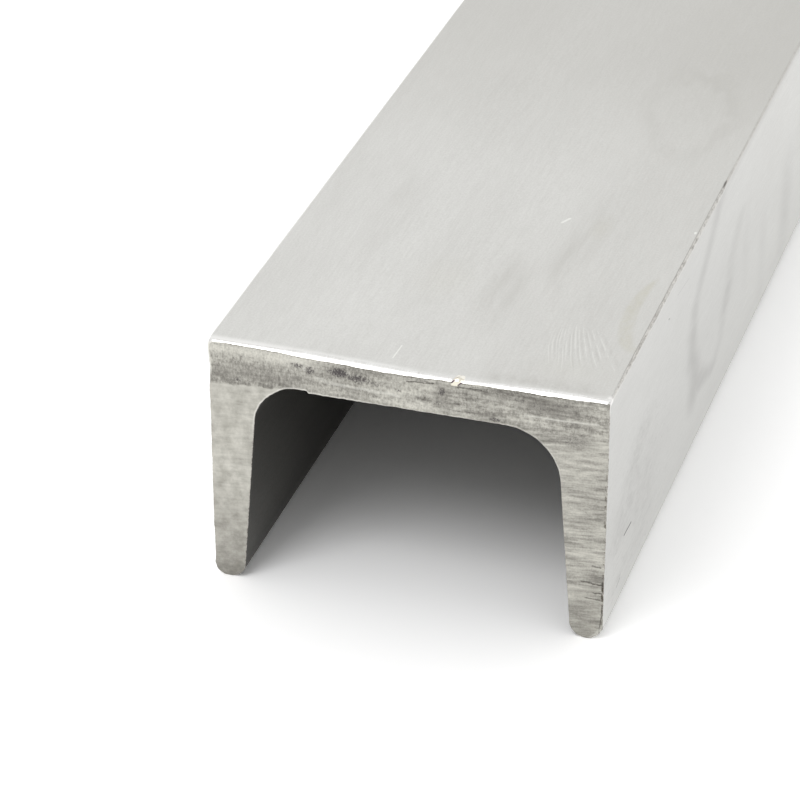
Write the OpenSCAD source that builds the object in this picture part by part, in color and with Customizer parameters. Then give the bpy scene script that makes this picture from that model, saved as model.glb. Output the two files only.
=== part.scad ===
// Taper-flange channel bar in stainless steel, cut to length. All sizes in mm.
// It stands on its two flange toes with the web on top, as it rests unheld.
// The origin is at mid-width and mid-length, on the plane of the toes:
// X runs across the section, Y along the bar and Z up to the back of the web.

/* [Section] */
// Width of the web, over the outer faces of both flanges
web_w = 60; // [45:1:120]
// Height of the section, from the flange toes to the back of the web
flange_h = 40; // [32:1:55]
// Thickness of the web
web_t = 6.5; // [4:0.1:9]
// Thickness of each flange, measured halfway up the section
flange_t = 6.5; // [6:0.1:10]
// Slope of the flanges' inner faces against their outer faces, in percent
taper = 8; // [2:0.5:10]

/* [Roundings] */
// Fillet radius where a flange meets the underside of the web
root_r = 7.5; // [3:0.5:9]
// Radius on the inner edge of each toe
toe_inner_r = 2.4; // [0.5:0.1:2.8]
// Radius on the outer edge of each toe
toe_outer_r = 2; // [0.3:0.1:2.4]
// Radius along the two outer edges of the web
heel_r = 0.4; // [0.2:0.1:2]

/* [Cut] */
// Length of the bar, between its sawn ends
bar_l = 1000; // [200:10:6000]
// Edge taken off the back of the web at each sawn end, measured along each face
end_break = 0.5; // [0.2:0.1:2]

/* [Hidden] */

// Arcs are drawn finely enough to read as round at the scale of the section
$fn = 96;
// How far a cutter runs past the faces that it cuts
cut_over = 1;
// What an arc's radius is drawn over its size, so that it crosses the faces that
// it runs into and doesn't only touch them
arc_lap = 0.0002;

// Half the width of the section
half_w = web_w / 2;
// Height of the web's underside above the toes
inner_h = flange_h - web_t;
// Sideways run of a flange's inner face for each mm of its height
slope = taper / 100;
// Angle at which a flange's inner face meets its toe and the web's underside
face_angle = 90 + atan(slope);

// Distance of a flange's inner face from mid-width, at height z above the toes
function inner_x(z) = half_w - flange_t - slope * (z - flange_h / 2);

// Cutter that rounds a corner at the origin: all that lies between the corner and
// the arc that touches both its edges, and past the edges by cut_over. One edge
// lies along +X, and the other is turned from it by the given angle.
module corner_cutter(radius, angle) {
    // Length along an edge, for each mm of radius, from the corner to the arc
    run = 1 / tan(angle / 2);
    reach = radius + cut_over;
    translate([radius * run, radius])
        difference() {
            polygon([[0, 0], [0, -reach], [-reach * run, -reach], reach * [-sin(angle), cos(angle)]]);
            circle(radius + arc_lap);
        }
}

// Draws its children on the right flange and mirrored on the left one
module both_flanges() {
    for (side = [0, 1]) mirror([side, 0]) children();
}

// The hollow under the web, open between the toes and rounded at its two roots
module hollow() {
    mouth_x = inner_x(-cut_over);
    root_x = inner_x(inner_h);
    difference() {
        polygon([[-mouth_x, -cut_over], [mouth_x, -cut_over], [root_x, inner_h], [-root_x, inner_h]]);
        both_flanges() translate([root_x, inner_h]) rotate(180) corner_cutter(root_r, face_angle);
    }
}

// The rolled section, drawn with X across and Y up
module section() {
    difference() {
        translate([-half_w, 0]) square([web_w, flange_h]);
        hollow();
        both_flanges() {
            translate([half_w, flange_h]) rotate(180) corner_cutter(heel_r, 90);
            translate([half_w, 0]) rotate(90) corner_cutter(toe_outer_r, 90);
            translate([inner_x(0), 0]) corner_cutter(toe_inner_r, face_angle);
        }
    }
}

// Wedge that takes the edge off the back of the web at the end that faces -Y
module end_wedge() {
    reach = end_break + cut_over;
    translate([-half_w - cut_over, -bar_l / 2, flange_h])
        rotate([90, 0, 90])
            linear_extrude(web_w + 2 * cut_over)
                polygon([[-cut_over, -reach], [reach, cut_over], [-cut_over, cut_over]]);
}

// The whole bar: the section drawn out to length, its two ends sawn square
module channel_bar() {
    color("silver")
        difference() {
            translate([0, bar_l / 2, 0]) rotate([90, 0, 0]) linear_extrude(bar_l) section();
            for (end = [0, 1]) mirror([0, end, 0]) end_wedge();
        }
}

channel_bar();
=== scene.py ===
"""A taper-flange channel bar in pickled stainless steel, standing on its toes on a plain floor.

One closed mesh stands for the bar: the section of the solid drawn out to length, with the
faint dish of the web, the hand-filed edge of the cut, small burrs and the relief of the saw.
Sizes are in millimetres, and become metres where the mesh, the camera and the lamp are made.
X runs across the section, Y along the bar and Z up; the origin is midway on the floor.
"""

import math

import bpy
import numpy as np
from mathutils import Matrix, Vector


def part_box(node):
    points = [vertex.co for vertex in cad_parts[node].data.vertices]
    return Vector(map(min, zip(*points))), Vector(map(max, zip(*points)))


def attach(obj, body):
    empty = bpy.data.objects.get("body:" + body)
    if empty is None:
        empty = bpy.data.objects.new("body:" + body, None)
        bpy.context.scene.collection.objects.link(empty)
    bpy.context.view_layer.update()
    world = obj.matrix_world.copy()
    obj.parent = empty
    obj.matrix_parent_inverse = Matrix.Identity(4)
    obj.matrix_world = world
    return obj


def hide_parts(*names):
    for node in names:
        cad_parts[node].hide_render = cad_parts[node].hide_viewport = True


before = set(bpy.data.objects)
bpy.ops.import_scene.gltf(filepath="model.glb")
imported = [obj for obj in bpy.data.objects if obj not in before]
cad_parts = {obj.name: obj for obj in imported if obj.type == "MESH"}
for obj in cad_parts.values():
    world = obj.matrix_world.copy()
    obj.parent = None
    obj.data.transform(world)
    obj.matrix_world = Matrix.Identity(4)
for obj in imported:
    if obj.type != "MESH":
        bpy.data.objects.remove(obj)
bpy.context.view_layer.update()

MM = 0.001
low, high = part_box("channel_bar")

# The section, with the sizes that the solid has
HALF_WIDTH = high.x / MM
HALF_LENGTH = high.y / MM
HEIGHT = high.z / MM
WEB = 6.5
FLANGE = 6.5
SLOPE = 0.08
ROOT_RADIUS = 7.5
TOE_INNER_RADIUS = 2.4
TOE_OUTER_RADIUS = 2.0
HEEL_RADIUS = 0.4
# The rolls left the right root fuller than the left one by twice this
ROOT_UNEVEN = 1.0

# Height of the web's underside
UNDERSIDE = HEIGHT - WEB
# Where the flange's inner face would meet the floor
INNER_FOOT = HALF_WIDTH - FLANGE + SLOPE * HEIGHT / 2
# Tilt of the flange's inner face, and its length for each mm of height
TILT = math.atan(SLOPE)
STRETCH = math.hypot(1, SLOPE)

# Centres of the arcs on the right half of the section, as (x, z)
TOE_INNER = (INNER_FOOT + TOE_INNER_RADIUS * (STRETCH - SLOPE), TOE_INNER_RADIUS)
TOE_OUTER = (HALF_WIDTH - TOE_OUTER_RADIUS, TOE_OUTER_RADIUS)
HEEL = (HALF_WIDTH - HEEL_RADIUS, HEIGHT - HEEL_RADIUS)
TOE_MIDDLE = (TOE_INNER[0] + TOE_OUTER[0]) / 2


def add_object(name, data):
    """A new object in the scene."""
    added = bpy.data.objects.new(name, data)
    bpy.context.scene.collection.objects.link(added)
    return added


# Camera

CAMERA_PLACE = Vector((127.2, -901.3, 279.4)) * MM
CAMERA_TURN = 17.69
CAMERA_DIP = 30.13
CAMERA_LENS = 154.1
SENSOR = 36.0


def add_camera():
    """A long lens in front of the bar, above it and a little to its right, level from side to side."""
    turn = math.radians(CAMERA_TURN)
    dip = math.radians(CAMERA_DIP)
    ahead = Vector((-math.sin(turn) * math.cos(dip), math.cos(turn) * math.cos(dip), -math.sin(dip)))
    lens = bpy.data.cameras.new("camera")
    lens.lens = CAMERA_LENS
    lens.sensor_width = SENSOR
    lens.clip_start = 0.01
    camera = add_object("camera", lens)
    camera.location = CAMERA_PLACE
    camera.rotation_euler = ahead.to_track_quat("-Z", "Y").to_euler()
    bpy.context.scene.camera = camera


# The section as two walls of points

def straight(start, end, side):
    """Points and outward normals along a straight stretch, by share.

    side is 1 where the steel is on its right, and -1 where it is on its left."""
    start, end = np.array(start), np.array(end)
    along = (end - start) / np.linalg.norm(end - start)
    normal = side * np.array([-along[1], along[0]])

    def at(share):
        share = np.asarray(share)[:, None]
        return start + (end - start) * share, np.repeat(normal[None], len(share), 0)

    return at


def bend(centre, radius, start, end, hollow=False):
    """Points and outward normals along an arc, by share. Angles are in radians from +X towards +Z."""
    def at(share):
        angle = start + (end - start) * np.asarray(share)
        spoke = np.stack([np.cos(angle), np.sin(angle)], 1)
        return np.array(centre) + radius * spoke, -spoke if hollow else spoke

    return at


def on_arc(centre, radius, angle):
    """The point of an arc at an angle."""
    return centre[0] + radius * math.cos(angle), centre[1] + radius * math.sin(angle)


RIGHT_ANGLE = math.pi / 2
toe_start = on_arc(TOE_INNER, TOE_INNER_RADIUS, math.pi + TILT)


def half_walls(root_radius):
    """Both walls of the right half, from mid-width to the middle of the toe, as stretches and their steps.

    Stretches that face each other through the steel have the same number of steps."""
    root_z = UNDERSIDE - root_radius
    root = (INNER_FOOT - SLOPE * root_z - root_radius * STRETCH, root_z)
    root_end = on_arc(root, root_radius, TILT)
    outer = (
        (straight((0, HEIGHT), (root[0], HEIGHT), 1), 12),
        (straight((root[0], HEIGHT), (HEEL[0], HEIGHT), 1), 6),
        (bend(HEEL, HEEL_RADIUS, RIGHT_ANGLE, 0), 3),
        (straight((HALF_WIDTH, HEEL[1]), (HALF_WIDTH, root_end[1]), 1), 5),
        (straight((HALF_WIDTH, root_end[1]), (HALF_WIDTH, TOE_OUTER[1]), 1), 16),
        (bend(TOE_OUTER, TOE_OUTER_RADIUS, 0, -RIGHT_ANGLE), 5),
        (straight((TOE_OUTER[0], 0), (TOE_MIDDLE, 0), 1), 1),
    )
    inner = (
        (straight((0, UNDERSIDE), (root[0], UNDERSIDE), -1), 12),
        (bend(root, root_radius, RIGHT_ANGLE, TILT, hollow=True), 14),
        (straight(root_end, toe_start, -1), 16),
        (bend(TOE_INNER, TOE_INNER_RADIUS, math.pi + TILT, math.pi + RIGHT_ANGLE), 5),
        (straight((TOE_INNER[0], 0), (TOE_MIDDLE, 0), -1), 1),
    )
    return outer, inner


LEFT_WALLS = half_walls(ROOT_RADIUS - ROOT_UNEVEN)
RIGHT_WALLS = half_walls(ROOT_RADIUS + ROOT_UNEVEN)
# Fine points for each coarse one, close to the sawn ends
FINE = 6


def half_wall(stretches, fineness):
    """One wall of the right half from mid-width to the middle of the toe, as rows of point and normal."""
    rows = []
    for at, steps in stretches:
        count = steps * fineness
        rows.append(np.hstack(at(np.arange(count) / count)))
    rows.append(np.hstack(stretches[-1][0]([1.0])))
    return np.concatenate(rows)


def wall(side, fineness):
    """A whole wall from the left toe over the middle to the right toe, as rows of point and normal."""
    left = half_wall(LEFT_WALLS[side], fineness) * [-1, 1, -1, 1]
    right = half_wall(RIGHT_WALLS[side], fineness)
    return np.concatenate([left[:0:-1], right])


def outline(fineness):
    """Points and outward normals round the section: the outer wall to the right, the inner one back."""
    rows = np.concatenate([wall(0, fineness), wall(1, fineness)[-2:0:-1]])
    return rows[:, :2], rows[:, 2:]


# Unevenness of the steel

KNOTS = 512


def wander(place, wavelength, seed):
    """A smooth random wave between -1 and 1, at each of the given places."""
    knots = np.random.default_rng(seed).uniform(-1, 1, KNOTS)
    step = np.asarray(place) / wavelength
    left = np.floor(step).astype(int)
    share = step - left
    share = share * share * (3 - 2 * share)
    return knots[left % KNOTS] * (1 - share) + knots[(left + 1) % KNOTS] * share


def ramp(value, start, end):
    """0 before start, 1 past end and a smooth rise between them."""
    share = np.clip((np.asarray(value, float) - start) / (end - start), 0, 1)
    return share * share * (3 - 2 * share)


# The web's back dips this much, most at this x, which wanders, and over this half width
DISH_DEPTH = 0.5
DISH_MIDDLE = 5.0
DISH_WANDER = 5.0
DISH_REACH = 13.0
# The flanges' outer faces lie up to this much inside their nominal place, and the inner faces up to this
FLANK_WAVE = 0.07
INSIDE_WAVE = 0.05
# The two long edges of the web's back are worn back by up to this much
ARRIS_WEAR = 0.09
# Stretch of the right edge that was dragged over something hard, as y
DRAGGED = (-495.0, -424.0)
DRAG_DEPTH = 0.13


def long_unevenness(points, normals, y):
    """How far the faces stand out from the nominal section at one place along the bar, in mm."""
    x, z = points[:, 0], points[:, 1]
    back = ramp(z, HEIGHT - HEEL_RADIUS, HEIGHT) * ramp(normals[:, 1], 0.3, 1)
    middle = DISH_MIDDLE + DISH_WANDER * wander(y, 160, 3)
    depth = DISH_DEPTH * (0.85 + 0.15 * wander(y, 90, 4))
    shift = -depth * np.exp(-((x - middle) / DISH_REACH) ** 2) * back
    flank = ramp(np.abs(normals[:, 0]), 0.5, 1) * (np.abs(x) > HEEL[0])
    shift = shift - FLANK_WAVE * flank * (1 + wander(y + 7 * z, 42, 5)) / 2
    inside = (np.abs(x) < HEEL[0] - 1) & (z < UNDERSIDE + 0.1)
    shift = shift - INSIDE_WAVE * inside * (1 + wander(y + 5 * x, 55, 6)) / 2
    corner = (np.abs(x) > HEEL[0] - 0.01) & (z > HEEL[1] - 0.01)
    worn = ARRIS_WEAR * np.clip(wander(y, 2.6, 8) + 0.5 * wander(y, 11, 9), 0, 1)
    start, end = DRAGGED
    dragged = DRAG_DEPTH * ramp(y, start, start + 8) * (1 - ramp(y, end - 6, end))
    worn_right = worn + dragged * (0.7 + 0.3 * wander(y, 1.9, 10))
    peak = ramp(np.minimum(normals[:, 1], np.abs(normals[:, 0])), 0.0, 0.55)
    return shift - corner * peak * np.where(x > 0, worn_right, 0.5 * worn)


# Roughness of the rim of the cut all round, and under the web
RIM_ROUGHNESS = 0.02
UNDER_ROUGHNESS = 0.04
# How far the left edge stands back at the cut: evenly, more at its top, in waves and in teeth
WAIST = 0.2
WAIST_TOP = 0.1
WAIST_WAVE = 0.06
WAIST_TEETH = 0.08
# Burr teeth under the right toe: where they start and end in x, and how long they are
TEETH_SPAN = (25.5, 27.6)
TEETH_LENGTH = 0.24
# How far the outer corners of the left toe and the right one were knocked back at the cut
KNOCKED = (0.15, 0.3)
# Recess under the web at the front end, beside the left root: where it starts, and the step that ends it
RECESS = (-21.0, -14.7)
RECESS_DEPTH = 0.35
# Flake of metal smeared across the front edge: its place, the height of the dipped back there, its lean
# for each mm up and over the edge, half width, reach below the edge and behind it, and how far it stands out
FLAKE_X = 7.5
FLAKE_Z = HEIGHT - 0.49
FLAKE_LEAN = 0.3
FLAKE_HALF = 0.57
FLAKE_BELOW = 0.95
FLAKE_BEHIND = 1.65
FLAKE_HEIGHT = 0.2


def burrs(points, depth, end):
    """How far the rim of a sawn end stands out at some depth behind it, in mm.

    end is -1 at the front and 1 at the rear."""
    x, z = points[:, 0], points[:, 1]
    rough = RIM_ROUGHNESS * wander(x * 3 + z * 5, 1.3, 11 + end) * np.exp(-depth / 0.5)
    under = (np.abs(x) < HEEL[0] - 2) & (z > UNDERSIDE - 4.5) & (z < UNDERSIDE + 0.1)
    rough = rough + under * UNDER_ROUGHNESS * wander(x, 0.4, 19 + end) * np.exp(-depth / 0.3)
    left_edge = (x < -HALF_WIDTH + 0.5) & (z > TOE_OUTER[1])
    left_round = (x < -TOE_OUTER[0]) & (z <= TOE_OUTER[1])
    waist = WAIST * ramp(HEIGHT - 2 - z, 0, 3) + WAIST_TOP * ramp(z, HEIGHT - 1.2, HEIGHT - 0.2)
    waist = waist + WAIST_WAVE * (1 + wander(z, 4.5, 13 + end))
    left = left_edge + left_round * ramp(z, 0, TOE_OUTER[1])
    rough = rough - left * waist * np.exp(-depth / 1.6)
    left_teeth = np.clip(wander(z, 1.1, 15 + end), 0, 1)
    rough = rough - left_edge * WAIST_TEETH * left_teeth * np.exp(-depth / 0.4)
    toe = ramp(x, TEETH_SPAN[0], TEETH_SPAN[0] + 0.7) * (x < TEETH_SPAN[1]) * (z < TOE_OUTER[1])
    teeth = np.clip(wander(x, 0.19, 17 + end) + 0.1, 0, 1)
    rough = rough + toe * TEETH_LENGTH * teeth * np.exp(-depth / 0.25)
    knocked = (np.abs(x) > TOE_OUTER[0]) & (z < TOE_OUTER[1])
    inwards = (np.abs(x) - TOE_OUTER[0]) * (TOE_OUTER[1] - z)
    lost = np.where(x > 0, KNOCKED[1], KNOCKED[0]) * ramp(inwards, 0, 1.5)
    rough = rough - knocked * lost * np.exp(-depth / 1.5)
    if end > 0:
        return rough
    recess = ramp(x, RECESS[0], RECESS[0] + 4) * (1 - ramp(x, RECESS[1] - 0.08, RECESS[1] + 0.08))
    rough = rough - under * RECESS_DEPTH * recess * np.exp(-depth / 1.2)
    top = z > HEIGHT - 0.1
    aside = np.abs(x - FLAKE_X - FLAKE_LEAN * depth) / FLAKE_HALF
    flake = (1 - ramp(aside, 0.5, 1.1)) * (1 - ramp(depth, 0.8 * FLAKE_BEHIND, FLAKE_BEHIND))
    return rough + top * FLAKE_HEIGHT * flake


# Width of the filed edge over the web's back, as (x, width), at the front end
FILED = ((-30, 0.34), (-27, 0.24), (-22, 0.3), (-18, 0.4), (-14, 0.6), (-11, 0.56), (-8, 0.58),
         (-5, 0.64), (-2, 0.56), (1, 0.46), (4, 0.38), (9, 0.34), (13, 0.36), (18, 0.46),
         (21, 0.52), (25, 0.47), (28, 0.4), (29.3, 0.46), (30, 0.6))
FILED_REAR = 0.42
# Rim of the cut elsewhere, on the outer wall and on the inner one
RIM_OUTER = 0.05
RIM_INNER = 0.08
# Rings of the rim, from the cut inwards: shares of the edge's width, in from the outline and down the bar
RIM_RINGS = ((1, 0), (0.66, 0.34), (0.33, 0.72), (0.09, 1.15), (0, 1.6))


def edge_width(points, is_outer, end):
    """Width of the edge taken off round a sawn end."""
    x, z = points[:, 0], points[:, 1]
    if end < 0:
        filed = np.interp(x, *zip(*FILED)) * (1 + 0.12 * wander(x, 1.7, 21))
        filed = filed + 0.03 * wander(x, 0.5, 22)
    else:
        filed = FILED_REAR + 0.14 * wander(x, 9, 23) + 0.05 * wander(x, 1.9, 24)
    back = ramp(z, HEIGHT - HEEL_RADIUS, HEIGHT - 0.3 * HEEL_RADIUS) * is_outer
    rim = np.where(is_outer, RIM_OUTER, RIM_INNER) * (1 + 0.4 * wander(x * 2 + z * 3, 2.1, 25 + end))
    return back * filed + (1 - back) * rim


# The mesh

# Fine rings behind the rim, as shares of the way to the last one, its depth, and where coarse ones start
FINE_SHARES = (0.12, 0.26, 0.42, 0.68, 1.0)
FINE_END = 2.8
COARSE_START = 3.6
# Steps along the bar: the closest one, how far it holds, how fast steps grow, and the longest one
STEP_LEAST = 1.25
STEP_HOLD = 140.0
STEP_GROWTH = 0.12
STEP_MOST = 8.0
# Cells through the wall on a sawn end
CAP_CELLS = 18
# Depth of the saw's relief, and of the slow waves under it
SAW_RELIEF = 0.02
SAW_WAVE = 0.05

ROLLED, SAWN, FILED_EDGE = 0, 1, 2


def coarse_places():
    """Places of the coarse stations as y, closest together along the front of the bar."""
    start = -HALF_LENGTH + COARSE_START
    places = [start]
    while places[-1] < -start:
        front = places[-1] + HALF_LENGTH
        rear = HALF_LENGTH - places[-1]
        step = STEP_LEAST + STEP_GROWTH * max(0, min(front - STEP_HOLD, rear - COARSE_START))
        places.append(places[-1] + min(step, STEP_MOST))
    places = np.array(places)
    return start + (places - start) * (-2 * start) / (places[-1] - start)


def station(points, normals, y, inset=0.0):
    """The section's outline at one place along the bar, as rows of x, y, z."""
    end = -1 if np.mean(y) < 0 else 1
    depth = HALF_LENGTH - np.abs(y)
    shift = long_unevenness(points, normals, y) + burrs(points, depth, end) - inset
    flat = points + normals * shift[:, None]
    return np.stack([flat[:, 0], np.broadcast_to(y, len(flat)), flat[:, 1]], 1)


def end_rings(points, normals, is_outer, end):
    """The rings of one sawn end, from the cut inwards."""
    width = edge_width(points, is_outer, end)
    rings = []
    for inwards, down in RIM_RINGS:
        rings.append(station(points, normals, end * (HALF_LENGTH - width * down), width * inwards))
    rim_depth = width * RIM_RINGS[-1][1]
    for share in FINE_SHARES:
        behind_rim = (FINE_END - rim_depth) * share
        rings.append(station(points, normals, end * (HALF_LENGTH - rim_depth - behind_rim)))
    return rings


def cap_points(ring, columns, end):
    """Points of a sawn end between its outer and inner rim, as rows for each column, with the saw's relief.

    Also gives how far each point is from the outer rim and from the inner one, in mm."""
    outer = ring[1:columns]
    inner = ring[:columns:-1]
    shares = np.arange(1, CAP_CELLS) / CAP_CELLS
    shares = shares - 0.6 * np.sin(2 * math.pi * shares) / (2 * math.pi)
    points = outer[:, None] + (inner - outer)[:, None] * shares[:, None]
    x, z = points[..., 0], points[..., 2]
    saw = wander(z + 0.12 * x + 0.4 * wander(x, 9, 31), 0.9, 32 + end)
    wave = wander(x + 3 * wander(z, 8, 33), 7, 34 + end) * wander(z, 6, 36)
    edge = np.sin(math.pi * shares)
    points[..., 1] -= end * edge * (SAW_RELIEF * (1 + saw) + SAW_WAVE * (1 + wave)) / 2
    through = np.linalg.norm(inner - outer, axis=1)[:, None]
    return points, through * shares, through * (1 - shares)


def join(rows_a, rows_b):
    """Faces between two closed rings with the same number of points, given as their point numbers."""
    next_a, next_b = np.roll(rows_a, -1), np.roll(rows_b, -1)
    return np.stack([rows_a, next_a, next_b, rows_b], 1).tolist()


def join_fine(fine, coarse, to_rear):
    """Faces between a fine ring and a coarse one.

    to_rear is true where the coarse one lies further along +Y."""
    faces = []
    count = len(coarse)
    half = FINE // 2
    for i in range(count):
        this, following = coarse[i], coarse[(i + 1) % count]
        edge = [fine[(FINE * i + k) % (FINE * count)] for k in range(FINE + 1)]
        fan = [[edge[k], edge[k + 1], this] for k in range(half)]
        fan.append([edge[half], following, this])
        fan += [[edge[k], edge[k + 1], following] for k in range(half, FINE)]
        faces += fan if to_rear else [face[::-1] for face in fan]
    return faces


def cap_faces(ring, inside, columns, end):
    """Faces of a sawn end.

    ring holds the point numbers of the rim, and inside those between its walls, by column."""
    count = len(ring)
    rows = [[ring[0]]]
    rows += [[ring[i], *inside[i - 1], ring[count - i]] for i in range(1, columns)]
    rows.append([ring[columns]])
    faces = []
    for left, right in zip(rows, rows[1:]):
        for k in range(CAP_CELLS):
            a, b = left[min(k, len(left) - 1)], left[min(k + 1, len(left) - 1)]
            c, d = right[min(k + 1, len(right) - 1)], right[min(k, len(right) - 1)]
            face = list(dict.fromkeys([a, d, c, b]))
            faces.append(face if end > 0 else face[::-1])
    return faces


def build_bar():
    """The whole bar as one closed mesh."""
    fine_points, fine_normals = outline(FINE)
    coarse_points, coarse_normals = outline(1)
    fine_count, coarse_count = len(fine_points), len(coarse_points)
    columns = fine_count // 2
    is_outer = np.arange(fine_count) <= columns
    front = end_rings(fine_points, fine_normals, is_outer, -1)
    rear = end_rings(fine_points, fine_normals, is_outer, 1)
    places = coarse_places()
    middle = [station(coarse_points, coarse_normals, np.full(coarse_count, y)) for y in places]
    rings = front + middle + rear[::-1]
    starts = np.cumsum([0] + [len(ring) for ring in rings])
    numbers = [np.arange(starts[i], starts[i + 1]) for i in range(len(rings))]
    faces, looks = [], []

    def keep(new, look):
        faces.extend(new)
        looks.extend([look] * len(new))

    rim = len(RIM_RINGS) - 1
    for i in range(len(rings) - 1):
        a, b = numbers[i], numbers[i + 1]
        in_rim = i < rim or i >= len(rings) - 1 - rim
        if len(a) == len(b):
            keep(join(a, b), FILED_EDGE if in_rim else ROLLED)
        else:
            to_rear = len(a) > len(b)
            keep(join_fine(a, b, True) if to_rear else join_fine(b, a, False), ROLLED)
    points = list(rings)
    total = starts[-1]
    on_outer = [np.zeros(total)]
    on_inner = [np.zeros(total)]
    for end, ring, ids in ((-1, rings[0], numbers[0]), (1, rings[-1], numbers[-1])):
        inside, from_outer, from_inner = cap_points(ring, columns, end)
        through = (from_outer + from_inner)[:, 0]
        on_inner[0][ids[1:columns]] = through
        on_outer[0][ids[:columns:-1]] = through
        on_outer.append(from_outer.ravel())
        on_inner.append(from_inner.ravel())
        inside_ids = total + np.arange(from_outer.size).reshape(from_outer.shape)
        total += inside_ids.size
        points.append(inside.reshape(-1, 3))
        keep(cap_faces(ids.tolist(), inside_ids.tolist(), columns, end), SAWN)
    lowest, highest = np.array(low) / MM, np.array(high) / MM
    points = np.clip(np.concatenate(points), lowest, highest) * MM
    distances = {"from_outer_rim": np.concatenate(on_outer), "from_inner_rim": np.concatenate(on_inner)}
    return bar_object(points, faces, looks, distances)


def bar_object(points, faces, looks, distances):
    """The mesh object, from its points in metres, its faces with their looks and numbers for its points."""
    mesh = bpy.data.meshes.new("bar_steel")
    mesh.from_pydata(points.tolist(), [], [[int(i) for i in face] for face in faces])
    mesh.polygons.foreach_set("material_index", looks)
    mesh.polygons.foreach_set("use_smooth", [True] * len(faces))
    mesh.update()
    for name, values in distances.items():
        mesh.attributes.new(name, "FLOAT", "POINT").data.foreach_set("value", values)
    mesh.normals_split_custom_set(corner_normals(points, faces, looks))
    return add_object("bar_steel", mesh)


def corner_normals(points, faces, looks):
    """A normal for each corner of each face, which leans to the larger faces.

    So flats stay flat next to small rounds. The cut ends take no part in the normals of the faces round
    them, so the rim of the cut is crisp."""
    in_cut = np.array(looks) == SAWN
    corners = np.concatenate([np.array(face) for face in faces])
    sizes = np.array([len(face) for face in faces])
    corner_in_cut = np.repeat(in_cut, sizes)
    found = np.zeros((len(corners), 3))
    for cut in (False, True):
        normals = np.zeros_like(points)
        for size in (3, 4):
            wanted = (sizes == size) & (in_cut == cut)
            chosen = np.array([face for face, take in zip(faces, wanted) if take])
            places = points[chosen]
            crossed = np.cross(places[:, 2] - places[:, 0], places[:, 3 % size] - places[:, 1])
            for k in range(size):
                np.add.at(normals, chosen[:, k], crossed)
        lengths = np.linalg.norm(normals, axis=1)[:, None]
        normals = normals / np.where(lengths > 0, lengths, 1)
        here = corner_in_cut == cut
        found[here] = normals[corners[here]]
    return found


# Materials

def tone(red, green, blue):
    """A colour given as it looks on a screen, 0 to 255, as the shader takes it."""
    def linear(value):
        value = value / 255
        return value / 12.92 if value <= 0.04045 else ((value + 0.055) / 1.055) ** 2.4

    return linear(red), linear(green), linear(blue), 1.0


# Colours of the long faces. A pair runs from the darkest tone to the lightest
PICKLED = (tone(201, 200, 196), tone(228, 228, 225))
# Inner faces of the hollow: partly a duller finish, partly painted shade of the closed hollow
HOLLOW_DULL_AND_SHADE = (tone(84, 83, 80), tone(122, 121, 117))
# Painted shade: the right flange's outer face is painted greyer than the web's back, more so towards the
# front end
FLANK_SHADE = tone(178, 178, 177)
FLANK_STAIN = tone(140, 138, 136)
# Painted light: the right flange's outer face is painted paler towards the floor
FLANK_LOW_PAINTED_LIGHT = tone(242, 242, 239)
# Stains on the web's back, and painted shade in a band further back and towards the right
BACK_STAIN_AND_SHADE = tone(180, 178, 172)
BACK_LIGHT = tone(240, 240, 236)
OCHRE = tone(187, 182, 154)
# Painted highlight along the left edge of the web's back
LEFT_ARRIS_HIGHLIGHT = tone(243, 241, 239)
# Painted highlight behind the filed front edge, the soft upper side of its glint
FRONT_EDGE_HIGHLIGHT = tone(246, 245, 243)
# Painted highlight at the front right corner, where the glint turns up the edge
FRONT_CORNER_HIGHLIGHT = tone(248, 246, 244)
SCUFFED = (tone(136, 130, 124), tone(220, 217, 212))
# Painted shade just below the right edge of the web's back
BELOW_ARRIS_SHADE = tone(150, 148, 146)
SCRATCH = tone(72, 67, 61)
# Colours of the cut ends
SAWN_STEEL = (tone(96, 93, 88), tone(208, 206, 197))
SAWN_PALE = (tone(158, 156, 148), tone(205, 203, 195))
SAWN_SHADE = tone(104, 101, 96)
SPECKLE = tone(72, 67, 70)
# Dark strokes on the cut, and the painted shadow of the burr along its right edge
TORN_AND_BURR_SHADOW = tone(62, 58, 54)
CHIPPED = tone(78, 70, 60)
BRIGHT_RIM = tone(224, 223, 216)
# Colours of the filed edge, and of the rim of the cut below the web's back
FILED_STEEL = (tone(219, 218, 215), tone(240, 240, 238))
LOW_RIM = (tone(110, 106, 100), tone(196, 194, 187))
# Colours of the flake, and of the nicks round it, on each of them
FLAKE_ON_BACK = tone(246, 243, 234)
FLAKE_ON_CUT = tone(232, 228, 213)
FLAKE_ON_EDGE = tone(222, 217, 203)
NICK_ON_BACK = tone(92, 72, 84)
NICK_ON_CUT = tone(84, 64, 78)
NICK_ON_EDGE = tone(84, 58, 80)


class Field:
    """A number that varies over a surface. Fields add, subtract and multiply like plain numbers."""

    def __init__(self, surface, socket):
        self.surface = surface
        self.socket = socket

    def __add__(self, other):
        return self.surface.math("ADD", self, other)

    def __sub__(self, other):
        return self.surface.math("SUBTRACT", self, other)

    def __rsub__(self, other):
        return self.surface.math("SUBTRACT", other, self)

    def __mul__(self, other):
        return self.surface.math("MULTIPLY", self, other)

    def __abs__(self):
        return self.surface.math("ABSOLUTE", self)

    __radd__ = __add__
    __rmul__ = __mul__


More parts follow.
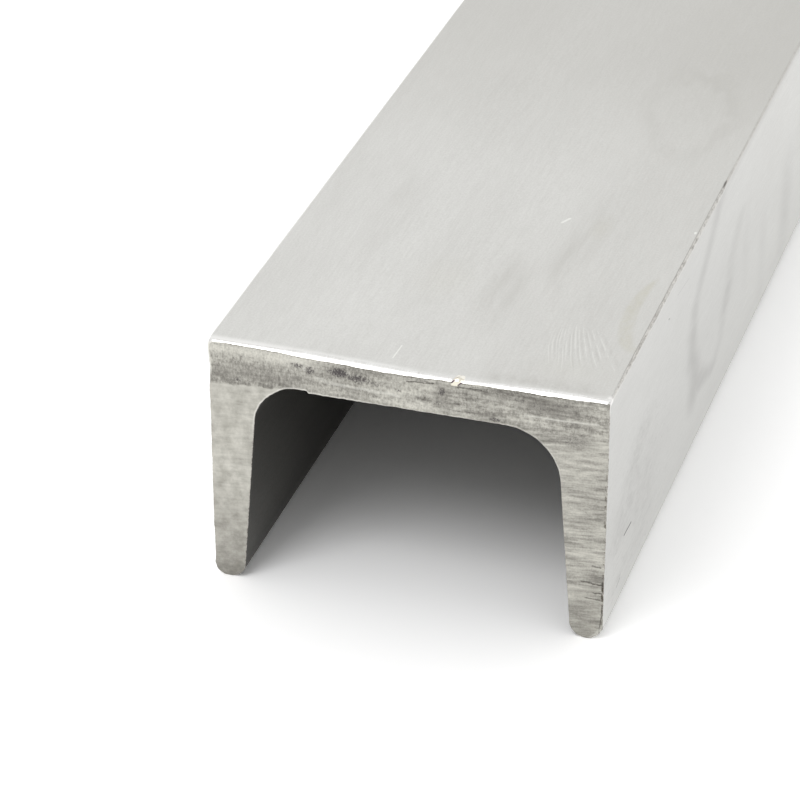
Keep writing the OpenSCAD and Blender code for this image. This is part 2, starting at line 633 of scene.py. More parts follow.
class Surface:
    """A metal whose colour, roughness and bump are worked out from the place on the bar, in mm."""

    def __init__(self, name):
        self.material = bpy.data.materials.new(name)
        self.material.use_nodes = True
        self.nodes = self.material.node_tree.nodes
        self.links = self.material.node_tree.links
        self.shader = self.nodes["Principled BSDF"]
        self.shader.inputs["Metallic"].default_value = 1.0
        where = self.nodes.new("ShaderNodeTexCoord")
        in_mm = self.nodes.new("ShaderNodeVectorMath")
        in_mm.operation = "SCALE"
        in_mm.inputs["Scale"].default_value = 1 / MM
        self.links.new(where.outputs["Object"], in_mm.inputs[0])
        split = self.nodes.new("ShaderNodeSeparateXYZ")
        self.links.new(in_mm.outputs[0], split.inputs[0])
        self.x, self.y, self.z = (Field(self, split.outputs[i]) for i in range(3))

    def feed(self, value, socket):
        """Puts a field or a plain number into a socket."""
        if isinstance(value, Field):
            self.links.new(value.socket, socket)
        else:
            socket.default_value = value

    def math(self, operation, *values):
        node = self.nodes.new("ShaderNodeMath")
        node.operation = operation
        for value, socket in zip(values, node.inputs):
            self.feed(value, socket)
        return Field(self, node.outputs[0])

    def rise(self, value, start, end):
        """0 where the value is before start, 1 past end and a smooth rise between them."""
        node = self.nodes.new("ShaderNodeMapRange")
        node.interpolation_type = "SMOOTHSTEP"
        self.feed(value, node.inputs["Value"])
        self.feed(start, node.inputs["From Min"])
        self.feed(end, node.inputs["From Max"])
        return Field(self, node.outputs["Result"])

    def fall(self, value, start, end):
        """1 where the value is before start, 0 past end and a smooth fall between them."""
        return 1 - self.rise(value, start, end)

    def attribute(self, name):
        """A number that the mesh holds for each of its points."""
        node = self.nodes.new("ShaderNodeAttribute")
        node.attribute_name = name
        return Field(self, node.outputs["Fac"])

    def noise(self, scales, detail=2.0, roughness=0.5, offset=0.0, up=None):
        """Noise from -1 to 1, with this many waves per mm along x, y and z. up stands for z where given."""
        place = self.nodes.new("ShaderNodeCombineXYZ")
        for axis, (value, scale) in enumerate(zip((self.x, self.y, up or self.z), scales)):
            self.feed(value * scale + offset, place.inputs[axis])
        node = self.nodes.new("ShaderNodeTexNoise")
        node.inputs["Scale"].default_value = 1.0
        node.inputs["Detail"].default_value = detail
        node.inputs["Roughness"].default_value = roughness
        self.links.new(place.outputs[0], node.inputs["Vector"])
        return (Field(self, node.outputs["Fac"]) - 0.5) * 2.0

    def blob(self, across, up, middle, radii, softness=0.6):
        """1 in the middle of an oval patch, falling to 0 at its edge."""
        aside = (across - middle[0]) * (1 / radii[0])
        above = (up - middle[1]) * (1 / radii[1])
        return self.fall(self.math("SQRT", aside * aside + above * above), 1 - softness, 1.0)

    def stroke(self, across, up, start, end, half_width, core=0.3):
        """1 along a straight stroke from start to end, falling to 0 at its half width."""
        run, climb = end[0] - start[0], end[1] - start[1]
        square = run * run + climb * climb
        aside, above = across - start[0], up - start[1]
        share = aside * (run / square) + above * (climb / square)
        share = self.math("MINIMUM", self.math("MAXIMUM", share, 0.0), 1.0)
        off_x, off_y = aside - share * run, above - share * climb
        return self.fall(self.math("SQRT", off_x * off_x + off_y * off_y), core * half_width, half_width)

    def path(self, across, up, points, half_width, core=0.0):
        """The same along a run of straight strokes from point to point."""
        ends = zip(points, points[1:])
        return self.most(*(self.stroke(across, up, *pair, half_width, core) for pair in ends))

    def blobs(self, across, up, table, softness):
        """The strongest of several oval patches, given as middle, radii and share."""
        patches = [self.blob(across, up, middle, radii, softness) * share for middle, radii, share in table]
        return self.most(*patches)

    def strokes(self, across, up, table):
        """The strongest of several strokes, given as start, end, half width and share."""
        lines = [self.stroke(across, up, start, end, half) * share for start, end, half, share in table]
        return self.most(*lines)

    def most(self, *fields):
        """The largest of several fields."""
        result = fields[0]
        for field in fields[1:]:
            result = self.math("MAXIMUM", result, field)
        return result

    def blend(self, under, over, share):
        """A colour between two, each a plain colour or the output of another blend."""
        node = self.nodes.new("ShaderNodeMix")
        node.data_type = "RGBA"
        self.feed(share, node.inputs["Factor"])
        for colour, name in ((under, "A"), (over, "B")):
            socket = next(s for s in node.inputs if s.name == name and s.type == "RGBA")
            self.feed(colour, socket)
        return Field(self, next(s for s in node.outputs if s.type == "RGBA"))

    def layers(self, colour, *coats):
        """A colour with others laid over it in turn, each given with its share."""
        for over, share in coats:
            colour = self.blend(colour, over, share)
        return colour

    def finish(self, colour, roughness, height):
        """Connects the colour, the roughness and a height in mm to the shader."""
        self.feed(colour, self.shader.inputs["Base Color"])
        self.feed(roughness, self.shader.inputs["Roughness"])
        bump = self.nodes.new("ShaderNodeBump")
        bump.inputs["Distance"].default_value = MM
        self.feed(height, bump.inputs["Height"])
        self.links.new(bump.outputs["Normal"], self.shader.inputs["Normal"])
        return self.material


# Soft grey patches on the web's back: middle and radii as (x, y), and how strong
GREY_PATCHES = (
    ((6.5, -473), (4.8, 18), 0.62),
    ((13.2, -456), (4.6, 19), 0.66),
    ((-17, -452), (5.5, 26), 0.3),
)
# Faint ochre patches on it, the same way
OCHRE_PATCHES = (
    ((-3, -471), (7, 10), 0.2),
    ((15.2, -449), (2.6, 6), 0.28),
    ((22, -493), (9, 6), 0.16),
)
# Light scratches on it: start and end as (x, y), half width, and how strong
LIGHT_SCRATCHES = (
    ((8.9, -448.6), (9.7, -447), 0.32, 0.75),
    ((-2.95, -496.6), (-2.8, -492.8), 0.14, 0.8),
)
# Soft dark stroke behind the filed edge on the right: its start and end
BEHIND_EDGE = ((13, -498.4), (26, -498))
# Grinding lines that fan out on the web's back: their root as (x, y), how close they are straight ahead,
# how fast that falls to the side, and how far from the root they start and end
FAN_ROOT = (16.0, -467.0)
FAN_LINES = 260.0
FAN_FALL = 150.0
FAN_START = 12.0
FAN_END = 26.5
# Middle and radii of the ochre crescent, and of the oval that its inner edge is cut by, as (x, y)
CRESCENT = ((29.2, -473.5), (4.3, 12.8))
CRESCENT_INNER = ((30.1, -470), (3.3, 16.5))
# Middle of the faint ring on the web's back, its radii and its skew, as (x, y)
RING_MIDDLE = (18.8, -404.4)
RING_RADII = (6.7, 15.0)
RING_SKEW = (0.18, -0.32)


def back_marks(s, x, y):
    """Marks on the web's back, with painted shade in a band further back and towards the right: the share of
    dark, of light and of ochre in them.
    """
    smear = s.noise((0.45, 0.05, 0.45), 3, offset=11)
    patches = s.blobs(x, y, GREY_PATCHES, 1.0)
    off_x, off_y = x - RING_MIDDLE[0], y - RING_MIDDLE[1]
    aside = (off_x + off_y * RING_SKEW[0]) * (1 / RING_RADII[0])
    along = (off_y + off_x * RING_SKEW[1]) * (1 / RING_RADII[1])
    uneven = s.noise((0.13, 0.06, 0.13), 3, 0.7, offset=35)
    oval = s.math("SQRT", aside * aside + along * along) + uneven * 0.8 + smear * 0.1
    ring = s.rise(oval, 0.62, 1.0) * s.fall(oval, 1.0, 1.4)
    # Painted shade: a soft darker band from about 50 to 320 mm behind the front end, and darker towards the
    # right
    far = s.rise(y, -450.0, -375.0) * s.fall(y, -330.0, -180.0)
    right = s.rise(x, -8.0, 28.0)
    behind = s.stroke(x, y, *BEHIND_EDGE, 3.2, 0.1)
    behind = behind * s.rise(s.noise((0.8, 0.5, 0.8), 3, 0.7, offset=65), -0.5, 0.5)
    dark = patches * (0.3 + smear * 0.7) + behind * 0.36
    dark = dark + ring * (0.06 + s.rise(uneven, -0.25, 0.25) * 0.08) + far * 0.34 + right * 0.14
    down = FAN_ROOT[1] - y
    waver = s.noise((0.04, 0.06, 0.04), 1, offset=31)
    lower = s.math("MAXIMUM", down - 14.0, 0.0)
    curl = lower * lower * s.fall(x, 18.0, 22.0) * 0.011
    turn = s.math("ARCTAN2", x - FAN_ROOT[0] + waver * 1.5 - curl, down)
    own = s.noise((0.0, 0.0, 24.0), 1, offset=61, up=turn)
    reach = s.noise((0.0, 0.0, 40.0), 1, offset=63, up=turn) * 9.0
    ripple = s.math("SINE", turn * (FAN_LINES - turn * FAN_FALL) + own * 3.0)
    broken = s.rise(s.noise((0.9, 0.05, 0.9), 2, offset=37), -0.5, 0.3)
    inside = s.rise(down, FAN_START + reach * 0.3, FAN_START + 3.0 + reach * 0.3)
    inside = inside * s.fall(down, FAN_END - 5.0 + reach, FAN_END + reach)
    inside = inside * s.rise(turn, 0.0, 0.07) * s.fall(turn, 0.48, 0.56)
    inside = inside * (0.85 + s.rise(turn, 0.19, 0.25) * 0.15)
    fan = ripple * broken * inside
    light = s.most(
        s.strokes(x, y, LIGHT_SCRATCHES),
        s.blob(x, y, (29.3, -446.5), (0.27, 0.55), 0.5) * 0.8,
        s.rise(fan, 0.2, 0.9) * 0.3,
    )
    crescent = s.blob(x, y, *CRESCENT, 0.16) * (1 - s.blob(x, y, *CRESCENT_INNER, 0.22))
    spotted = s.rise(s.noise((0.9, 0.5, 0.9), 4, 0.8, offset=69), -0.3, 0.3)
    crescent = crescent * (0.45 + uneven * 0.6 + spotted * 0.5)
    ochre = s.most(crescent, s.blobs(x, y, OCHRE_PATCHES, 1.0))
    return dark + s.fall(fan, -1.0, -0.1) * inside * 0.2, light, ochre


# Soft marks on the flange are this much narrower along it than the distances drawn for them
SQUEEZE = 0.35
# The U of a dried trickle on the right flange, as (y, z)
TRICKLE = ((-431.5, 39.3), (-437.2, 34.3), (-441.6, 31.3), (-446, 28.3), (-447.8, 24),
           (-447.5, 18.5), (-443.2, 13.3), (-439.3, 10.9), (-432.9, 8.8), (-427.2, 11.3),
           (-425.3, 15.8), (-422.5, 19), (-421, 23), (-414.9, 28))
# Its stretches: number of the first point and the last one, half width, and how dark
TRICKLE_STRETCHES = (
    (0, 4, 1.9, 0.29),
    (4, 7, 2.2, 0.38),
    (7, 8, 1.9, 0.3),
    (8, 10, 1.7, 0.16),
    (10, 11, 1.8, 0.28),
    (11, 13, 2.2, 0.16),
)
# Smears in front of it, as (y, z), and the dark patch at its foot: middle and radii
SMEARS = ((-480, 23.5), (-484.1, 20), (-487.8, 16.8), (-490.5, 13.5))
LOW_SMEARS = ((-473.8, 7.2), (-480.8, 5.2), (-487.5, 5.8), (-493.3, 5.8))
FOOT = ((-445.5, 12), (6.5, 5.5))
# Bands further back: middle and radii as (y, z), and how dark
FAR_BANDS = (
    ((-378, 12), (8, 15), 0.17),
    ((-396, 12), (6, 13), 0.09),
    ((-410, 20), (5, 14), 0.06),
)
# Scratches on the right flange: start and end as (y, z), half width, and how dark
FLANK_SCRATCHES = (
    ((-488.8, 11.3), (-484.6, 11.1), 0.2, 1),
    ((-492.5, 4.5), (-490.3, 4.9), 0.13, 0.5),
    ((-465.4, 35), (-464.7, 34.8), 0.17, 0.5),
    ((-460, 36.3), (-452.5, 35.4), 0.13, 0.15),
)


def flank_marks(s, y, z):
    """Marks on the right flange's outer face: the share of soft dark in them, and the scratches."""
    warp = s.noise((0.06, 0.06, 0.1), 3, offset=51)
    ragged = s.noise((0.4, 0.25, 0.5), 4, 0.7, offset=57)
    along = (y + warp * 3.5) * SQUEEZE
    up = z + warp

    def soft(points, half_width):
        return s.path(along, up, [(place * SQUEEZE, height) for place, height in points], half_width)

    stretches = [soft(TRICKLE[first:last + 1], half) * share
                 for first, last, half, share in TRICKLE_STRETCHES]
    trickle = s.most(*stretches)
    foot = s.blob(y, z, *FOOT, 1.0) * 0.32
    rubbed = s.noise((0.3, 0.3, 0.7), 4, 0.7, offset=67)
    near = s.most(
        soft(SMEARS, 3.8) * 0.26,
        soft(LOW_SMEARS, 2.0) * 0.18,
        s.blob(y, z, (-478.0, 13.0), (13.0, 12.0), 1.0) * 0.2,
    ) * s.rise(rubbed, -0.4, 0.35)
    far = s.blobs(y, z, FAR_BANDS, 1.0)
    streaks = s.rise(s.noise((0.5, 0.1, 2.2), 3, 0.7, offset=59), -0.1, 0.5)
    streaks = streaks * s.fall(z, 12.0, 22.0) * s.fall(y, -486.0, -470.0)
    specks = s.rise(s.noise((0.9, 0.5, 1.2), 4, 0.8, offset=75), 0.0, 0.5) * s.fall(z, 24.0, 34.0)
    specks = specks * s.fall(y, -472.0, -452.0)
    dark = s.most(trickle * (0.85 + ragged * 0.5), foot, near, far, streaks * 0.16) + specks * 0.2
    return dark, s.strokes(y, z, FLANK_SCRATCHES)


def arris_line(s, x, y, z):
    """The scuffed band along the right edge of the web's back.

    Gives its share, its dark upper line, its flecks and the soft painted shade below it."""
    across = (z - HEEL[1]) - (abs(x) - HEEL[0])
    near = s.rise(x, HEEL[0] - 0.9, HEEL[0] - 0.4) * s.rise(z, HEEL[1] - 1.6, HEEL[1] - 0.9)
    waver = s.noise((0.0, 0.4, 0.0), 3, 0.65, offset=71)
    flecks = s.noise((3.0, 0.8, 3.0), 3, 0.75, offset=73)
    dragged = s.rise(y, -499.0, -488.0) * s.fall(y, -431.0, -422.0)
    half = 0.15 + dragged * 0.3 + s.rise(y, -431.0, -422.0) * 0.12 + waver * 0.1
    off = abs(across + dragged * 0.12 + waver * 0.08)
    fade = 0.45 + s.fall(y, -490.0, -320.0) * 0.55
    band = s.fall(off, half - 0.1, half + 0.08) * near * fade * (0.62 + s.rise(waver, -0.3, 0.3) * 0.38)
    solid = s.rise(y, -431.0, -422.0)
    line = s.fall(abs(across - 0.28 + waver * 0.12), 0.02, 0.13) * near * fade
    line = line * (s.rise(flecks, -0.5, 0.5) * (1 - solid * 0.7) + solid * 0.12)
    nick = s.blob(y, across, (-428.6, 0.1), (2.1, 0.4), 0.8) * near * 0.75
    # Painted shade on the right flange just below the edge, past the nick
    below = s.rise(x, HALF_WIDTH - 0.6, HALF_WIDTH - 0.3) * s.rise(z, HEEL[1] - 1.7, HEEL[1] - 0.3)
    below = below * s.fall(z, HEEL[1] + 0.1, HEEL[1] + 0.3) * solid
    return band, s.most(line * (0.26 + dragged * 0.34), nick), flecks * (1 - solid * 0.6), below


def flake_marks(s, x, y, z):
    """The flake smeared across the front edge: its bright body and the dark groove and nicks round it."""
    over = (y + HALF_LENGTH) + (z - FLAKE_Z)
    aside = x - FLAKE_X - over * FLAKE_LEAN
    in_reach = s.rise(z, UNDERSIDE + 1.0, UNDERSIDE + 2.0) * s.fall(y, -1.0, 1.0)
    body = s.fall(abs(aside), FLAKE_HALF - 0.1, FLAKE_HALF)
    body = body * s.rise(over, -FLAKE_BELOW, -FLAKE_BELOW + 0.15)
    body = body * s.fall(over, FLAKE_BEHIND - 0.25, FLAKE_BEHIND)
    lobe = s.blob(aside, over, (0.45, 0.45), (0.5, 1.0), 0.2)
    nicks = s.most(
        s.stroke(aside, over, (-0.5, -0.32), (-0.3, 0.05), 0.19),
        s.stroke(aside, over, (0.5, -0.66), (0.85, -0.15), 0.16) * 0.85,
        s.stroke(aside, over, (-0.35, 0.1), (0.05, 1.6), 0.14) * 0.26,
    )
    return s.most(body, lobe) * in_reach, nicks * in_reach


def rolled_steel():
    """The long faces: rolled and pickled, pale and satin, with lengthwise lines, stains and scratches, and
    with painted light, shade and highlights.
    """
    s = Surface("rolled_steel")
    x, y, z = s.x, s.y, s.z
    back = s.rise(z, HEIGHT - 1.0, HEIGHT - 0.6)
    right = s.rise(x, HALF_WIDTH - 0.6, HALF_WIDTH - 0.3) * (1 - back)
    # The hollow's inner faces take a darker colour, partly a duller finish and partly painted shade
    hollow = s.fall(abs(x), INNER_FOOT + 0.5, INNER_FOOT + 1.5)
    hollow = hollow * s.fall(z, UNDERSIDE + 0.3, UNDERSIDE + 1)
    hairs = s.noise((3.0, 0.2, 3.0), 3, 0.65)
    lines = s.noise((0.9, 0.03, 0.9), 3, offset=20)
    cloud = s.noise((0.08, 0.03, 0.08), 3, offset=40)
    grit = s.noise((3.6, 2.6, 3.6), 2, 0.7, offset=60)
    grain = hairs * (0.34 + right * 0.2) + lines * 0.1 + cloud * 0.3 + grit * 0.42
    near = s.fall(y, -450.0, -370.0)
    dark, light, ochre = back_marks(s, x, y)
    stain, scratches = flank_marks(s, y, z)
    # Painted highlight along the left edge of the web's back
    left_edge = s.fall(x, -HALF_WIDTH + 0.15, -HALF_WIDTH + 0.5) * s.rise(z, HEEL[1] - 0.6, HEEL[1])
    # Painted highlight behind the filed front edge, fading back from it
    front_edge_highlight = s.fall(y, -HALF_LENGTH + 0.6, -HALF_LENGTH + 1.9) * back
    front_edge_highlight = front_edge_highlight * (0.3 + s.fall(x, -3.0, 3.0) * 0.45)
    # Painted highlight at the front right corner of the web's back
    corner = s.fall(y, -HALF_LENGTH + 1.0, -HALF_LENGTH + 2.0)
    corner = corner * s.rise(x, HEEL[0] - 0.5, HEEL[0]) * s.rise(z, HEEL[1] - 0.6, HEEL[1])
    band, line, flecks, below = arris_line(s, x, y, z)
    body, nicks = flake_marks(s, x, y, z)
    colour = s.layers(
        s.blend(*PICKLED, s.rise(grain, -0.75, 0.75)),
        # Painted shade on the right flange's outer face, stronger towards the front end
        (FLANK_SHADE, right * (0.24 + near * 0.14)),
        (BACK_STAIN_AND_SHADE, dark * back),
        (OCHRE, ochre * back * 0.3),
        (BACK_LIGHT, light * back),
        # Painted light low on the right flange, paler towards the floor
        (FLANK_LOW_PAINTED_LIGHT, right * s.fall(z, 1.0, 19.0) * 0.26),
        (FLANK_STAIN, stain * right),
        (LEFT_ARRIS_HIGHLIGHT, left_edge * 0.7),
        (FRONT_EDGE_HIGHLIGHT, front_edge_highlight),
        (BELOW_ARRIS_SHADE, below * 0.17),
        (s.blend(*SCUFFED, s.rise(flecks, -0.35, 0.3)), band * 0.75),
        (SCRATCH, s.most(line, scratches * right)),
        (s.blend(*HOLLOW_DULL_AND_SHADE, s.rise(grain, -0.7, 0.7)), hollow),
        (FRONT_CORNER_HIGHLIGHT, corner * 0.8),
        (FLAKE_ON_BACK, body),
        (NICK_ON_BACK, nicks),
    )
    roughness = 0.42 + hairs * 0.05 + cloud * 0.05 - light * back * 0.1 + hollow * 0.1 + band * 0.1
    height = hairs * 0.004 + lines * 0.003 + grit * 0.002
    height = height + band * flecks * 0.02 - line * 0.04 - scratches * right * 0.03
    return s.finish(colour, roughness, height)


# Speckled stains on the front end: middle and radii as (x, z), and how dark
END_STAINS = (
    ((-14.4, 37.4), (1.4, 1.2), 0.8),
    ((-16.2, 37.9), (1.8, 0.9), 0.75),
    ((-10, 37.8), (2.8, 1.3), 1),
    ((-7.2, 37.3), (3.5, 1.3), 0.8),
    ((-4.4, 36.9), (2.6, 0.9), 0.5),
    ((-0.9, 36.4), (0.7, 0.45), 0.7),
    ((0.4, 36.3), (0.6, 0.4), 0.5),
    ((5.4, 37.3), (1.1, 1.3), 0.75),
    ((4.9, 35.4), (1.2, 0.8), 0.5),
    ((9.4, 35.9), (1, 0.7), 0.4),
    ((16.5, 37.9), (3, 0.9), 0.45),
    ((20, 37.4), (5, 1.4), 0.4),
    ((23, 38.3), (3.6, 1.1), 0.4),
    ((13.3, 34.2), (1.7, 0.6), 0.8),
    ((25, 32.7), (3.6, 2.3), 0.4),
    ((-25.5, 34), (1.3, 0.5), 0.7),
)
# Soft greyer places on the front end, the same way
END_SHADES = (
    ((-21, 35.2), (10, 2.2), 0.7),
    ((-12, 37.4), (6, 1.5), 0.5),
    ((5.4, 36.6), (2.6, 3), 0.6),
    ((20.5, 37.6), (9, 2.3), 1),
    ((25.8, 32.9), (4.6, 2.6), 0.5),
    ((12.5, 34.5), (3.4, 1.6), 0.6),
    ((14, 37.5), (5, 1.3), 0.55),
    ((27.6, 2), (4.5, 12), 0.5),
    ((-27, 0.5), (8, 7.5), 1),
    ((-27, 5), (8, 13), 0.6),
    ((-28, 34.8), (4, 1.7), 0.8),
)
# Thin dark strokes on the front end: start and end as (x, z), half width, and how dark
END_STROKES = (
    ((-27.6, 33.6), (-26, 33.5), 0.6, 0.45),
    ((-25.2, 33.5), (-23.6, 33.4), 0.5, 0.4),
    ((-21.9, 33.8), (-20.2, 33.7), 0.45, 0.5),
    ((-18.9, 34.2), (-17.2, 34.1), 0.35, 0.4),
    ((0.2, 38.2), (4.2, 38.4), 0.16, 0.8),
    ((-0.6, 38.9), (3.8, 39.1), 0.12, 0.5),
    ((7.7, 38.45), (11.2, 38.55), 0.2, 0.65),
    # These four rows paint the shadow of the burr along the right edge of the cut, low on the right flange
    ((29.75, 9.9), (29.75, 8.6), 0.28, 0.95),
    ((29.7, 7.7), (29.75, 7.3), 0.22, 0.8),
    ((29.8, 6), (29.75, 4.2), 0.2, 0.75),
    ((29.75, 4.2), (29.4, 1.4), 0.14, 0.7),
    ((28.2, 12.5), (29.3, 12.5), 0.24, 0.55),
    ((26.6, 9.6), (28.1, 9.6), 0.2, 0.7),
    ((28.3, 9.5), (29.7, 9.5), 0.22, 0.8),
    ((28.4, 8), (29.6, 8), 0.18, 0.7),
    ((27.2, 7), (29.6, 7), 0.18, 0.65),
)
# Bright smears along the front end, as (x, z)
RIGHT_SMEAR = ((17.6, 35.7), (22.8, 35.7), (28.4, 36))
LEFT_SMEAR = ((-13.4, 36.4), (-11.5, 35.8), (-6, 35.7), (-1, 35.6))


def sawn_steel():
    """The cut ends: bare grey metal with torn fibres, the saw's lines, smears, a light rim and a painted
    burr shadow along the right edge.
    """
    s = Surface("sawn_steel")
    x, y, z = s.x, s.y, s.z
    from_outer, from_inner = s.attribute("from_outer_rim"), s.attribute("from_inner_rim")
    front = s.fall(y, -1.0, 1.0)
    warp = s.noise((0.5, 0.1, 0.5), 4, 0.6, offset=5)
    web_end = s.math("MINIMUM", x + 19.0, 0.0) * 0.06
    web = s.rise(z + warp * 0.8 - web_end, UNDERSIDE - 0.3, UNDERSIDE + 0.2)
    left = s.fall(x + warp * 8, -6.0, 5.0)
    torn = s.noise((2.6, 0.2, 1.3), 4, 0.7, offset=9)
    fine = s.noise((3.4, 0.5, 3.0), 2, 0.75, offset=7)
    mottle = s.noise((0.9, 0.3, 1.1), 5, 0.7)
    bands = s.noise((0.09, 0.1, 1.0), 4, 0.62, offset=13)
    tilted = z - x * 0.085
    saw = s.noise((0.22, 0.1, 1.7), 4, 0.64, offset=15, up=tilted)
    slow_saw = s.noise((0.12, 0.1, 0.3), 2, offset=17, up=tilted)
    top_strip = s.rise(z + warp * 0.8, 37.4, 38.5) * s.fall(x, -16.0, -10.0)
    in_web = left * (torn * 0.72 + mottle * 0.42 + bands * 0.5 + top_strip * 0.34)
    in_web = in_web + (1 - left) * (torn * 0.45 + mottle * 0.72 + bands * 0.8 + saw * 0.35 - 0.03)
    in_flange = saw * 0.85 + slow_saw * 0.4 + mottle * 0.2 + 0.1
    calm = s.blob(x, z, (-1.0, 35.5), (8.0, 6.0), 1.0)
    pattern = web * (in_web + calm * 0.21) + (1 - web) * in_flange + fine * 0.3
    pale = s.fall(x, -20.5, -16.5) * (1 - web)
    soft = s.noise((0.45, 0.1, 0.4), 4, 0.6, offset=25)
    break_up = s.noise((3.6, 0.3, 2.8), 3, 0.85, offset=23)
    ragged = s.noise((0.6, 0.1, 0.8), 4, 0.7, offset=21)
    shade = s.blobs(x, z, END_SHADES, 0.95) * (0.45 + s.rise(ragged, -0.4, 0.3) * 0.55) * front
    rear_shade = s.rise(s.noise((0.2, 0.1, 0.3), 4, 0.7, offset=27), 0.0, 0.6) * (1 - front)
    stain = s.blobs(x, z, END_STAINS, 0.9)
    speckle = s.rise(stain * 0.9 + break_up * 1.3, 0.3, 0.9) * s.rise(stain, 0.02, 0.35) * front
    strokes = s.strokes(x, z + warp * 0.5, END_STROKES) * s.rise(break_up, -0.6, 0.15) * front
    broken = s.noise((0.7, 0.1, 0.9), 3, 0.8, offset=29)
    chips = s.noise((1.3, 0.1, 1.2), 2, 0.8, offset=45)
    under_edge = s.fall(from_outer, 0.1, 0.3) * s.rise(z, HEIGHT - 2.0, HEIGHT - 1.2)
    under_edge = under_edge * s.rise(broken, -0.3, 0.3)
    dots = s.fall(from_outer, 0.12, 0.42) * s.rise(x, 27.5, 28.5)
    dots = dots * s.fall(z, 22.0, 34.0) * s.rise(chips, -0.02, 0.22)
    rim = s.fall(from_inner, 0.1, 0.3) * s.rise(z, 24.0, 29.0) * (0.4 + s.fall(x, -8.0, 0.0) * 0.6)
    left_rim = s.fall(from_outer, 0.1, 0.35) * s.fall(x, -28.5, -27.5) * s.rise(z, 33.0, 36.0)
    toe_rim = s.fall(from_outer, 0.3, 0.7) * s.rise(x, 27.6, 28.3) * s.fall(z, 1.6, 2.6) * front
    smears = s.most(
        s.path(x, z, RIGHT_SMEAR, 0.22, 0.2),
        s.path(x, z + warp * 0.6, LEFT_SMEAR, 0.4, 0.2) * 0.7,
        s.blob(x, z, (-15.2, 37.5), (0.35, 0.5)) * 0.8,
    ) * (0.5 + ragged * 0.6)
    light = s.most(rim * (0.5 + broken * 0.6), left_rim * 0.9, toe_rim * 0.4, smears * 0.8 * front)
    body, nicks = flake_marks(s, x, y, z)
    colour = s.layers(
        s.blend(*SAWN_STEEL, s.rise(pattern, -0.68, 0.72)),
        (s.blend(*SAWN_PALE, s.rise(soft, -0.45, 0.4)), pale * 0.72),
        (SAWN_SHADE, s.most(shade * 0.7, rear_shade * 0.4)),
        (SPECKLE, speckle * 0.85),
        (TORN_AND_BURR_SHADOW, strokes),
        (CHIPPED, s.most(under_edge * 0.6, dots * 0.75)),
        (BRIGHT_RIM, light),
        (FLAKE_ON_CUT, body),
        (NICK_ON_CUT, nicks),
    )
    roughness = 0.46 + mottle * 0.07 + speckle * 0.1 - rim * 0.08
    height = web * left * torn * 0.016 + (1 - web * left) * saw * 0.014 + mottle * 0.01 + fine * 0.003
    height = height - speckle * (0.02 + break_up * 0.02) - strokes * 0.04 + body * 0.05
    return s.finish(colour, roughness, height)


def filed_edge():
    """The bright edges: freshly filed metal with fine scratches across the edge, and the flake."""
    s = Surface("filed_edge")
    scratches = s.noise((4.2, 1.2, 1.2), 3, 0.6)
    soft = s.noise((0.5, 0.3, 0.3), 3, offset=12)
    chipped = s.noise((1.2, 0.4, 1.2), 3, 0.75, offset=43)
    low_rim = s.blend(*LOW_RIM, s.rise(chipped, -0.3, 0.25))
    body, nicks = flake_marks(s, s.x, s.y, s.z)
    colour = s.layers(
        s.blend(*FILED_STEEL, s.rise(scratches * 0.7 + soft * 0.5, -0.5, 0.5)),
        (low_rim, s.fall(s.z, HEIGHT - 2.6, HEIGHT - 1.6)),
        (FLAKE_ON_EDGE, body),
        (NICK_ON_EDGE, nicks),
    )
    return s.finish(colour, 0.3 + scratches * 0.06, scratches * 0.004)


# Floor, lamp and world

def light_path_share(tree, kinds):
    """1 for rays of these kinds, which show the plain background, and 0 for the rest."""
    path = tree.nodes.new("ShaderNodeLightPath")
    share = path.outputs[kinds[0]]
    for kind in kinds[1:]:
        most = tree.nodes.new("ShaderNodeMath")
        most.operation = "MAXIMUM"
        tree.links.new(share, most.inputs[0])
        tree.links.new(path.outputs[kind], most.inputs[1])
        share = most.outputs[0]
    return share


SEEING_RAYS = ("Is Camera Ray", "Is Glossy Ray", "Is Transmission Ray")
FLOOR_COLOUR = (0.8, 0.8, 0.8, 1.0)
# How much paler the floor is to the rays that see it, so that it is white where no shadow falls
FLOOR_LIFT = 1.45
FLOOR_HALF = 6.0
FLOOR_CORNERS = ((-1, -1), (1, -1), (1, 1), (-1, 1))
WORLD_LIGHT = 0.85
LAMP_PLACE = Vector((-0.55, -1.65, 1.75))
LAMP_AIM = Vector((0.0, -0.4, 0.03))
LAMP_SIDE = 1.0
LAMP_POWER = 14.0


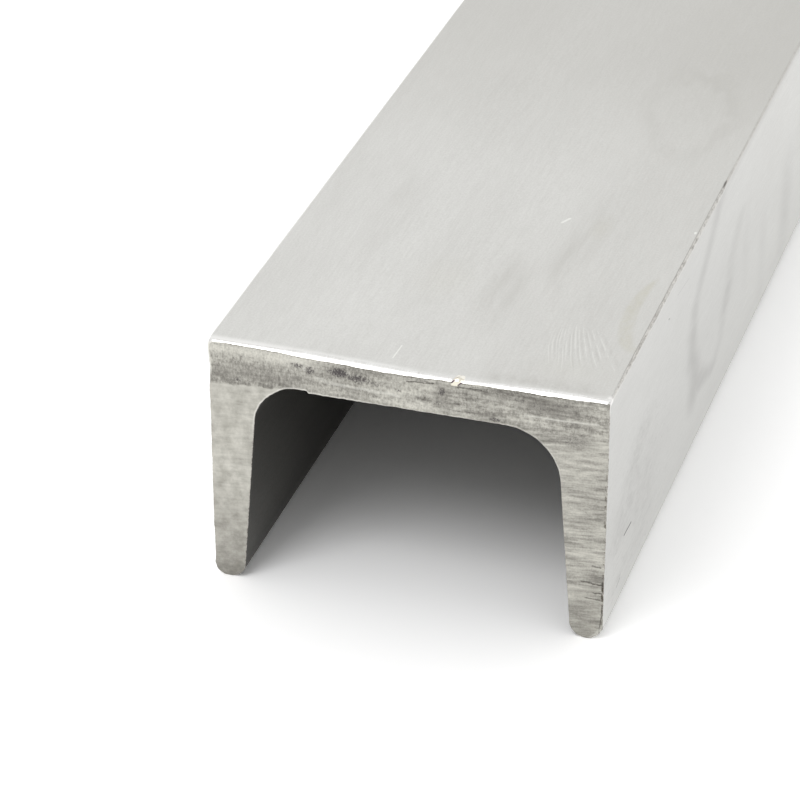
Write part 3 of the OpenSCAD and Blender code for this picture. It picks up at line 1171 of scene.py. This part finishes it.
def add_floor():
    """A wide pale floor that looks white where no shadow falls."""
    mesh = bpy.data.meshes.new("floor")
    corners = [(FLOOR_HALF * across, FLOOR_HALF * along, 0) for across, along in FLOOR_CORNERS]
    mesh.from_pydata(corners, [], [(0, 1, 2, 3)])
    floor = add_object("floor", mesh)
    material = bpy.data.materials.new("floor")
    material.use_nodes = True
    tree = material.node_tree
    tree.nodes.remove(tree.nodes["Principled BSDF"])
    matt = tree.nodes.new("ShaderNodeBsdfDiffuse")
    lift = tree.nodes.new("ShaderNodeMapRange")
    lift.inputs["To Max"].default_value = FLOOR_LIFT
    lift.inputs["To Min"].default_value = 1.0
    tree.links.new(light_path_share(tree, SEEING_RAYS), lift.inputs["Value"])
    colour = tree.nodes.new("ShaderNodeVectorMath")
    colour.operation = "SCALE"
    colour.inputs[0].default_value = FLOOR_COLOUR[:3]
    tree.links.new(lift.outputs["Result"], colour.inputs["Scale"])
    tree.links.new(colour.outputs[0], matt.inputs["Color"])
    tree.links.new(matt.outputs[0], tree.nodes["Material Output"].inputs["Surface"])
    mesh.materials.append(material)


def add_light():
    """A soft lamp above the front end, to its left, and an even pale world."""
    lamp = bpy.data.lights.new("softbox", "AREA")
    lamp.shape = "SQUARE"
    lamp.size = LAMP_SIDE
    lamp.energy = LAMP_POWER
    softbox = add_object("softbox", lamp)
    softbox.location = LAMP_PLACE
    softbox.rotation_euler = (LAMP_AIM - LAMP_PLACE).to_track_quat("-Z", "Y").to_euler()
    world = bpy.data.worlds.new("studio")
    bpy.context.scene.world = world
    world.use_nodes = True
    tree = world.node_tree
    background = tree.nodes["Background"]
    background.inputs["Color"].default_value = (1, 1, 1, 1)
    strength = tree.nodes.new("ShaderNodeMapRange")
    strength.inputs["To Min"].default_value = WORLD_LIGHT
    strength.inputs["To Max"].default_value = 1.0
    tree.links.new(light_path_share(tree, SEEING_RAYS), strength.inputs["Value"])
    tree.links.new(strength.outputs["Result"], background.inputs["Strength"])


add_camera()
bar = build_bar()
for material in (rolled_steel(), sawn_steel(), filed_edge()):
    bar.data.materials.append(material)
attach(bar, "root")
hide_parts("channel_bar")
add_floor()
add_light()
bpy.context.scene.view_settings.view_transform = "Standard"
